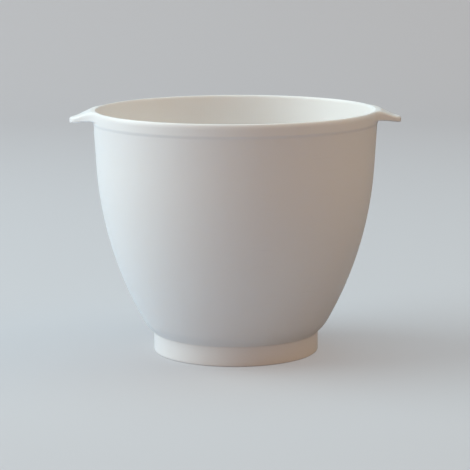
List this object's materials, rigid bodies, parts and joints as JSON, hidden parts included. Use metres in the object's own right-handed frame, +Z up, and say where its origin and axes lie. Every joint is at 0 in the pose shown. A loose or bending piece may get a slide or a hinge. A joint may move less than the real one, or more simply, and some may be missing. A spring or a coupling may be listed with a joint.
{
  "type": "stand mixer bowl",
  "caption": "Deep tapered plastic bowl for a stand mixer, with a rim band, drooping side lugs to lift it by and a round bayonet foot.",
  "frame": {"origin": "centre of the foot's bottom, on the surface that the bowl stands on", "axes": "+Z up along the bowl's axis, +X out through one lug, +Y through the side that faces away in the picture"},
  "size_m": [0.256, 0.22, 0.189],
  "materials": {
    "white_plastic": "white moulded plastic, soft gloss, faintly translucent"
  },
  "bodies": {
    "root": {"bowl": "white_plastic"}
  },
  "joints": []
}
